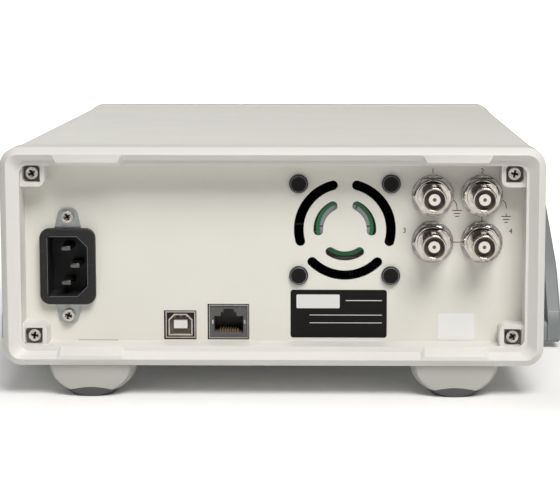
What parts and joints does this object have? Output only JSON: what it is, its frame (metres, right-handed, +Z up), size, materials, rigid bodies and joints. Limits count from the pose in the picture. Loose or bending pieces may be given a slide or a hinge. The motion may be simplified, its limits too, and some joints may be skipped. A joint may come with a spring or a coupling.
{
  "type": "function generator",
  "caption": "Bench function generator in a half-rack case with a bail handle, a display and keyed front, and a recessed connector rear with a cooling fan.",
  "frame": {"origin": "under the middle of the whole object's box, on the surface that the foot pads stand on", "axes": "+X to the right seen from the front, +Y towards the rear panel, +Z up; the front faces -Y"},
  "size_m": [0.253, 0.293, 0.0998],
  "materials": {
    "painted_cover": "fine texture powder paint",
    "case_plastic": "fine moulded grain",
    "painted_panel": "smooth paint",
    "fascia_plastic": "fine moulded grain",
    "window_glass": "smoked, gloss",
    "black_plastic": "satin moulded",
    "dark_plastic": "satin moulded",
    "white_plastic": "satin moulded",
    "nickel": "bright nickel plate",
    "bright_steel": "zinc plate",
    "gold": "gold plate",
    "rubber": "matt",
    "circuit_board": "solder mask",
    "handle_plastic": "moulded grain",
    "knob_plastic": "moulded grain",
    "key_plastic": "soft-touch rubber"
  },
  "bodies": {
    "case": {"top_cover": "painted_cover", "bottom_cover": "painted_cover", "standoffs": "bright_steel", "rear_bezel": "case_plastic", "rear_panel": "painted_panel", "front_bezel": "case_plastic", "front_panel": "fascia_plastic", "display_window": "window_glass", "display_module": "black_plastic", "inlet_body": "black_plastic", "inlet_bracket": "bright_steel", "inlet_blades": "nickel", "usb_shells": "nickel", "usb_tongues": "white_plastic", "lan_shield": "nickel", "lan_insert": "dark_plastic", "lan_contacts": "gold", "bnc_bodies": "nickel", "bnc_nuts": "nickel", "bnc_lock_washers": "nickel", "bnc_insulators": "white_plastic", "bnc_contacts": "gold", "fan_housing": "black_plastic", "fan_rivets": "black_plastic", "corner_screws": "nickel", "inlet_screws": "nickel", "feet": "case_plastic", "foot_pads": "rubber", "foot_screws": "nickel", "main_board": "circuit_board", "power_supply": "circuit_board", "key_board": "circuit_board", "encoder": "bright_steel", "handle_pivots": "handle_plastic"},
    "dial": {"knob": "knob_plastic", "encoder_shaft": "bright_steel"},
    "fan_rotor": {"fan_impeller": "black_plastic"},
    "power_push": {"power_button": "key_plastic"},
    "handle": {"handle_arm_left": "handle_plastic", "handle_arm_right": "handle_plastic", "handle_grip": "handle_plastic"},
    "soft_key_1_cap": {"soft_key_1": "key_plastic"},
    "soft_key_2_cap": {"soft_key_2": "key_plastic"},
    "soft_key_3_cap": {"soft_key_3": "key_plastic"},
    "soft_key_4_cap": {"soft_key_4": "key_plastic"},
    "soft_key_5_cap": {"soft_key_5": "key_plastic"},
    "number_key_7_cap": {"number_key_7": "key_plastic"},
    "number_key_8_cap": {"number_key_8": "key_plastic"},
    "number_key_9_cap": {"number_key_9": "key_plastic"},
    "number_key_4_cap": {"number_key_4": "key_plastic"},
    "number_key_5_cap": {"number_key_5": "key_plastic"},
    "number_key_6_cap": {"number_key_6": "key_plastic"},
    "number_key_1_cap": {"number_key_1": "key_plastic"},
    "number_key_2_cap": {"number_key_2": "key_plastic"},
    "number_key_3_cap": {"number_key_3": "key_plastic"},
    "number_key_0_cap": {"number_key_0": "key_plastic"},
    "number_key_point_cap": {"number_key_point": "key_plastic"},
    "number_key_sign_cap": {"number_key_sign": "key_plastic"},
    "output_key_1_cap": {"output_key_1": "key_plastic"},
    "output_key_2_cap": {"output_key_2": "key_plastic"}
  },
  "joints": [
    {"name": "dial_turn", "type": "hinge", "parent": "case", "child": "dial", "pos_m": [0.069, -0.1325, 0.073], "axis": [0, -1, 0], "continuous": true},
    {"name": "fan_spin", "type": "hinge", "parent": "case", "child": "fan_rotor", "pos_m": [-0.0286, 0.122, 0.0655], "axis": [0, 1, 0], "continuous": true},
    {"name": "handle_swing", "type": "hinge", "parent": "case", "child": "handle", "pos_m": [0, -0.0585, 0.055], "axis": [-1, 0, 0], "range_deg": [0, 290]},
    {"name": "power_press", "type": "slide", "parent": "case", "child": "power_push", "axis": [0, 1, 0], "range_m": [0, 0.001], "stiffness_N_per_m": 900},
    {"name": "soft_key_1_press", "type": "slide", "parent": "case", "child": "soft_key_1_cap", "axis": [0, 1, 0], "range_m": [0, 0.001], "stiffness_N_per_m": 900},
    {"name": "soft_key_2_press", "type": "slide", "parent": "case", "child": "soft_key_2_cap", "axis": [0, 1, 0], "range_m": [0, 0.001], "stiffness_N_per_m": 900},
    {"name": "soft_key_3_press", "type": "slide", "parent": "case", "child": "soft_key_3_cap", "axis": [0, 1, 0], "range_m": [0, 0.001], "stiffness_N_per_m": 900},
    {"name": "soft_key_4_press", "type": "slide", "parent": "case", "child": "soft_key_4_cap", "axis": [0, 1, 0], "range_m": [0, 0.001], "stiffness_N_per_m": 900},
    {"name": "soft_key_5_press", "type": "slide", "parent": "case", "child": "soft_key_5_cap", "axis": [0, 1, 0], "range_m": [0, 0.001], "stiffness_N_per_m": 900},
    {"name": "number_key_7_press", "type": "slide", "parent": "case", "child": "number_key_7_cap", "axis": [0, 1, 0], "range_m": [0, 0.001], "stiffness_N_per_m": 900},
    {"name": "number_key_8_press", "type": "slide", "parent": "case", "child": "number_key_8_cap", "axis": [0, 1, 0], "range_m": [0, 0.001], "stiffness_N_per_m": 900},
    {"name": "number_key_9_press", "type": "slide", "parent": "case", "child": "number_key_9_cap", "axis": [0, 1, 0], "range_m": [0, 0.001], "stiffness_N_per_m": 900},
    {"name": "number_key_4_press", "type": "slide", "parent": "case", "child": "number_key_4_cap", "axis": [0, 1, 0], "range_m": [0, 0.001], "stiffness_N_per_m": 900},
    {"name": "number_key_5_press", "type": "slide", "parent": "case", "child": "number_key_5_cap", "axis": [0, 1, 0], "range_m": [0, 0.001], "stiffness_N_per_m": 900},
    {"name": "number_key_6_press", "type": "slide", "parent": "case", "child": "number_key_6_cap", "axis": [0, 1, 0], "range_m": [0, 0.001], "stiffness_N_per_m": 900},
    {"name": "number_key_1_press", "type": "slide", "parent": "case", "child": "number_key_1_cap", "axis": [0, 1, 0], "range_m": [0, 0.001], "stiffness_N_per_m": 900},
    {"name": "number_key_2_press", "type": "slide", "parent": "case", "child": "number_key_2_cap", "axis": [0, 1, 0], "range_m": [0, 0.001], "stiffness_N_per_m": 900},
    {"name": "number_key_3_press", "type": "slide", "parent": "case", "child": "number_key_3_cap", "axis": [0, 1, 0], "range_m": [0, 0.001], "stiffness_N_per_m": 900},
    {"name": "number_key_0_press", "type": "slide", "parent": "case", "child": "number_key_0_cap", "axis": [0, 1, 0], "range_m": [0, 0.001], "stiffness_N_per_m": 900},
    {"name": "number_key_point_press", "type": "slide", "parent": "case", "child": "number_key_point_cap", "axis": [0, 1, 0], "range_m": [0, 0.001], "stiffness_N_per_m": 900},
    {"name": "number_key_sign_press", "type": "slide", "parent": "case", "child": "number_key_sign_cap", "axis": [0, 1, 0], "range_m": [0, 0.001], "stiffness_N_per_m": 900},
    {"name": "output_key_1_press", "type": "slide", "parent": "case", "child": "output_key_1_cap", "axis": [0, 1, 0], "range_m": [0, 0.001], "stiffness_N_per_m": 900},
    {"name": "output_key_2_press", "type": "slide", "parent": "case", "child": "output_key_2_cap", "axis": [0, 1, 0], "range_m": [0, 0.001], "stiffness_N_per_m": 900}
  ]
}
